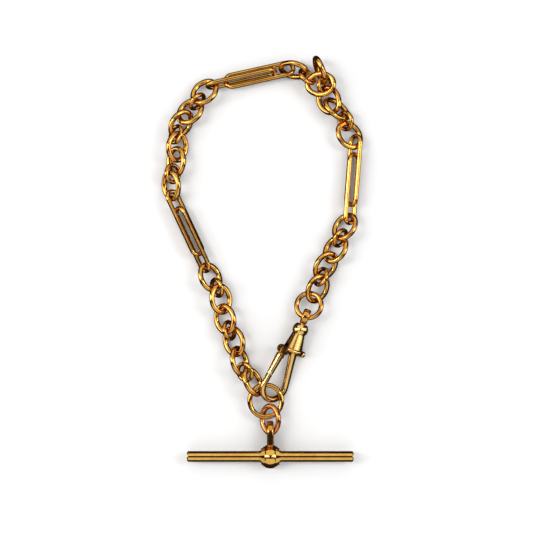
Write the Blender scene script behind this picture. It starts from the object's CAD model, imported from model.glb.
import math

import bpy
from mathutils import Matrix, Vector

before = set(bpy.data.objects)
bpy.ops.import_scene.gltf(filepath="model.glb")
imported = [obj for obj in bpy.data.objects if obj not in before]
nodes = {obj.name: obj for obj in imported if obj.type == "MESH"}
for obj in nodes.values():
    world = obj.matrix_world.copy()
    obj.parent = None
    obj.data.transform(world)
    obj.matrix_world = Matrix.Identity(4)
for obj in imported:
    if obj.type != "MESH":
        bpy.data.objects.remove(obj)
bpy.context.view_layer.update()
MM = 0.001

# Feature sizes of the metal's noise, as noise scales in object space
PATCH_SCALE = 260
DENT_SCALE = 420
BLOOM_SCALE = 620
SCRATCH_SCALE = 900
GRAIN_SCALE = 2600
DENT_DEPTH = 0.08 * MM
SCRATCH_DEPTH = 0.01 * MM
TARNISH = (0.34, 0.17, 0.06)
# Facets that meet at more than this stay sharp: bar ends, steps of the bead
SHARP_DEGREES = 35
# Worn edges: width of the rounding, and the settings of its modifiers
ROUNDED_MM = {"t_bar_shackle": 0.4, "swivel_eye": 0.35, "thumb_piece": 0.3, "clip_gate": 0.15}
WELD_MM = 0.001
FLAT_DEGREES = 0.5
EDGE_DEGREES = 50
EDGE_STEPS = 4


# ---------------------------------------------------------------- node helpers
def new_material(name):
    mat = bpy.data.materials.new(name)
    mat.use_nodes = True
    tree = mat.node_tree
    tree.nodes.clear()
    out = tree.nodes.new("ShaderNodeOutputMaterial")
    shader = tree.nodes.new("ShaderNodeBsdfPrincipled")
    tree.links.new(shader.outputs[0], out.inputs["Surface"])
    return mat, tree, shader


def noise(tree, coord, scale, detail, rough, offset, stretch=(1, 1, 1)):
    mapping = tree.nodes.new("ShaderNodeMapping")
    mapping.inputs["Location"].default_value = offset
    mapping.inputs["Scale"].default_value = stretch
    tex = tree.nodes.new("ShaderNodeTexNoise")
    tex.inputs["Scale"].default_value = scale
    tex.inputs["Detail"].default_value = detail
    tex.inputs["Roughness"].default_value = rough
    tree.links.new(coord, mapping.inputs[0])
    tree.links.new(mapping.outputs[0], tex.inputs["Vector"])
    return tex.outputs["Fac"]


def ramp(tree, value, stops):
    """stops: (position, value or colour), from low to high."""
    node = tree.nodes.new("ShaderNodeValToRGB")
    els = node.color_ramp.elements
    while len(els) < len(stops):
        els.new(0.5)
    for el, (pos, val) in zip(els, stops):
        el.position = pos
        el.color = (*val, 1) if isinstance(val, tuple) else (val, val, val, 1)
    tree.links.new(value, node.inputs[0])
    return node.outputs[0]


def mix(tree, fac, a, b, mode="MIX"):
    node = tree.nodes.new("ShaderNodeMix")
    node.data_type = "RGBA"
    node.blend_type = mode
    for value, sock in ((fac, node.inputs[0]), (a, node.inputs[6]), (b, node.inputs[7])):
        if isinstance(value, bpy.types.NodeSocket):
            tree.links.new(value, sock)
        elif isinstance(value, tuple):
            sock.default_value = (*value, 1)
        else:
            sock.default_value = value
    return node.outputs[2]


def gold(name, base, warm, pale, seed, rough=(0.07, 0.2), bump=0.14):
    """Worn polished gold: patches of a warmer alloy, soft dents, fine scratches."""
    mat, tree, shader = new_material(name)
    coord = tree.nodes.new("ShaderNodeTexCoord").outputs["Object"]
    shift = (seed * 0.37, seed * 0.21, seed * 0.11)
    patches = noise(tree, coord, PATCH_SCALE, 3, 0.55, shift)
    bloom = noise(tree, coord, BLOOM_SCALE, 4, 0.6, shift)
    grain = noise(tree, coord, GRAIN_SCALE, 3, 0.6, shift)
    scratch_a = noise(tree, coord, SCRATCH_SCALE, 2, 0.5, shift, (0.15, 4, 1))
    scratch_b = noise(tree, coord, SCRATCH_SCALE, 2, 0.5, shift, (3.5, 0.2, 1))
    col = mix(tree, ramp(tree, patches, [(0.42, 0.0), (0.62, 1.0)]), base, warm)
    col = mix(tree, ramp(tree, bloom, [(0.5, 0.0), (0.75, 0.4)]), col, pale)
    col = mix(tree, ramp(tree, grain, [(0.3, 0.35), (0.5, 0.0)]), col, TARNISH)
    tree.links.new(col, shader.inputs["Base Color"])
    shader.inputs["Metallic"].default_value = 1.0
    worn = mix(tree, 0.5, ramp(tree, bloom, [(0.3, rough[0]), (0.75, rough[1])]),
               ramp(tree, grain, [(0.35, rough[0]), (0.7, rough[1])]))
    tree.links.new(worn, shader.inputs["Roughness"])
    lines = mix(tree, 1.0, ramp(tree, scratch_a, [(0.62, 0.0), (0.66, 1.0)]),
                ramp(tree, scratch_b, [(0.63, 0.0), (0.67, 1.0)]), "LIGHTEN")
    fine = tree.nodes.new("ShaderNodeBump")
    fine.inputs["Strength"].default_value = bump * 0.5
    fine.inputs["Distance"].default_value = SCRATCH_DEPTH
    fine.invert = True
    tree.links.new(lines, fine.inputs["Height"])
    dents = tree.nodes.new("ShaderNodeBump")
    dents.inputs["Strength"].default_value = bump
    dents.inputs["Distance"].default_value = DENT_DEPTH
    tree.links.new(noise(tree, coord, DENT_SCALE, 2, 0.4, shift), dents.inputs["Height"])
    tree.links.new(fine.outputs[0], dents.inputs["Normal"])
    tree.links.new(dents.outputs[0], shader.inputs["Normal"])
    return mat


# Base colours of the alloys; each material then varies from base to warm to pale
YELLOW = (0.7, 0.38, 0.07)
WARM = (0.64, 0.27, 0.05)
PALE = (0.82, 0.54, 0.22)
yellows = [gold(f"yellow_gold_{k}", YELLOW, WARM, PALE, k + 1) for k in range(4)]
ring_gold = gold("ring_gold", (0.67, 0.33, 0.06), WARM, (0.78, 0.49, 0.17), 7)
rose = gold("rose_gold", (0.64, 0.27, 0.09), (0.6, 0.21, 0.06), (0.78, 0.44, 0.22), 9)
solder = gold("solder_gold", (0.62, 0.3, 0.11), (0.6, 0.25, 0.1), (0.75, 0.45, 0.2), 11,
              (0.28, 0.5), 0.8)
bar_gold = gold("bar_gold", (0.76, 0.44, 0.1), (0.7, 0.36, 0.08), PALE, 13, (0.03, 0.07), 0.04)
clip_gold = gold("clip_gold", (0.86, 0.56, 0.19), (0.78, 0.44, 0.12), PALE, 17, (0.12, 0.24),
                 0.12)
pin_gold = gold("pin_gold", (0.6, 0.38, 0.16), (0.5, 0.28, 0.12), YELLOW, 19, (0.2, 0.45))
steel = gold("spring_steel", (0.5, 0.5, 0.48), (0.42, 0.4, 0.36), (0.62, 0.62, 0.6), 23,
             (0.25, 0.5))

SPECIAL = {
    "t_bar_link": rose, "t_bar": bar_gold, "t_bar_bead": bar_gold,
    "t_bar_shackle": ring_gold, "swivel_eye": ring_gold, "swivel_rivet": pin_gold,
    "clip_body": clip_gold, "clip_hook": clip_gold, "clip_gate": clip_gold,
    "thumb_piece": clip_gold, "gate_pin": pin_gold, "gate_spring": steel,
    "jump_ring": ring_gold, "big_ring": yellows[0],
}


def material_for(name, count):
    if name in SPECIAL:
        return SPECIAL[name]
    if "solder" in name:
        return solder
    if "_ring_" in name:
        return ring_gold
    return yellows[count % len(yellows)]


for count, name in enumerate(sorted(nodes)):
    obj = nodes[name]
    obj.data.materials.clear()
    obj.data.materials.append(material_for(name, count))
    for poly in obj.data.polygons:
        poly.use_smooth = True
    if name not in ROUNDED_MM:
        obj.data.set_sharp_from_angle(angle=math.radians(SHARP_DEGREES))

# Straps, the knob and the lever are worn round at their edges
for name, width in ROUNDED_MM.items():
    weld = nodes[name].modifiers.new("weld", "WELD")
    weld.merge_threshold = WELD_MM * MM
    flat = nodes[name].modifiers.new("flat", "DECIMATE")
    flat.decimate_type = "DISSOLVE"
    flat.angle_limit = math.radians(FLAT_DEGREES)
    edge = nodes[name].modifiers.new("edge", "BEVEL")
    edge.width = width * MM
    edge.segments = EDGE_STEPS
    edge.limit_method = "ANGLE"
    edge.angle_limit = math.radians(EDGE_DEGREES)
    nodes[name].modifiers.new("shading", "WEIGHTED_NORMAL")

# ---------------------------------------------------------------- stage
bpy.ops.mesh.primitive_plane_add(size=3.0, location=(0, 0, 0))
floor = bpy.context.object
floor.name = "floor"
mat, tree, shader = new_material("pale_floor")
shader.inputs["Base Color"].default_value = (0.93, 0.93, 0.93, 1)
shader.inputs["Roughness"].default_value = 0.7
floor.data.materials.append(mat)
# The metal mirrors the dark room below the panels, so that its edges stay brown
floor.visible_glossy = False

world = bpy.data.worlds.new("studio")
bpy.context.scene.world = world
world.use_nodes = True
background = world.node_tree.nodes["Background"]
background.inputs[0].default_value = (0.3, 0.26, 0.23, 1)
background.inputs[1].default_value = 0.1


def softbox(name, at, size, radiance, tint=(1, 1, 1)):
    """A rectangular light aimed at the origin."""
    lamp = bpy.data.lights.new(name, "AREA")
    lamp.shape = "RECTANGLE"
    lamp.size, lamp.size_y = size
    lamp.energy = radiance * math.pi * size[0] * size[1]
    lamp.color = tint
    obj = bpy.data.objects.new(name, lamp)
    bpy.context.scene.collection.objects.link(obj)
    obj.location = at
    obj.rotation_euler = (-Vector(at)).to_track_quat("-Z", "Y").to_euler()


# Panels and strips round a dark camera hole, with dark gaps between them
softbox("top_panel", (0.0, 0.27, 0.29), (0.7, 0.44), 1.05)
softbox("front_panel", (0.0, -0.28, 0.25), (0.6, 0.38), 0.95)
softbox("left_high", (-0.24, 0.02, 0.32), (0.12, 0.45), 2.0)
softbox("left_low", (-0.38, 0.02, 0.13), (0.2, 0.45), 2.2)
softbox("right_high", (0.25, 0.0, 0.31), (0.1, 0.42), 1.4)
softbox("right_low", (0.36, 0.0, 0.14), (0.18, 0.42), 1.8)
softbox("key", (-0.32, 0.08, 0.55), (0.035, 0.2), 28.0)
softbox("rim", (0.33, 0.1, 0.45), (0.03, 0.2), 24.0, (0.88, 0.94, 1))

# ---------------------------------------------------------------- camera
# Straight down; the view is VIEW_W wide at the height of the chain's middle
LENS = 100.0
SENSOR = 36.0
VIEW_W = 130 * MM
VIEW_MIDDLE = Vector((0.98 * MM, -0.85 * MM, 2.6 * MM))
cam_data = bpy.data.cameras.new("camera")
cam_data.lens = LENS
cam_data.sensor_width = SENSOR
cam_data.clip_start = 0.01
cam = bpy.data.objects.new("camera", cam_data)
bpy.context.scene.collection.objects.link(cam)
cam.location = VIEW_MIDDLE + Vector((0, 0, VIEW_W * LENS / SENSOR))
cam.rotation_euler = (0, 0, 0)
bpy.context.scene.camera = cam
bpy.context.scene.view_settings.view_transform = "Standard"
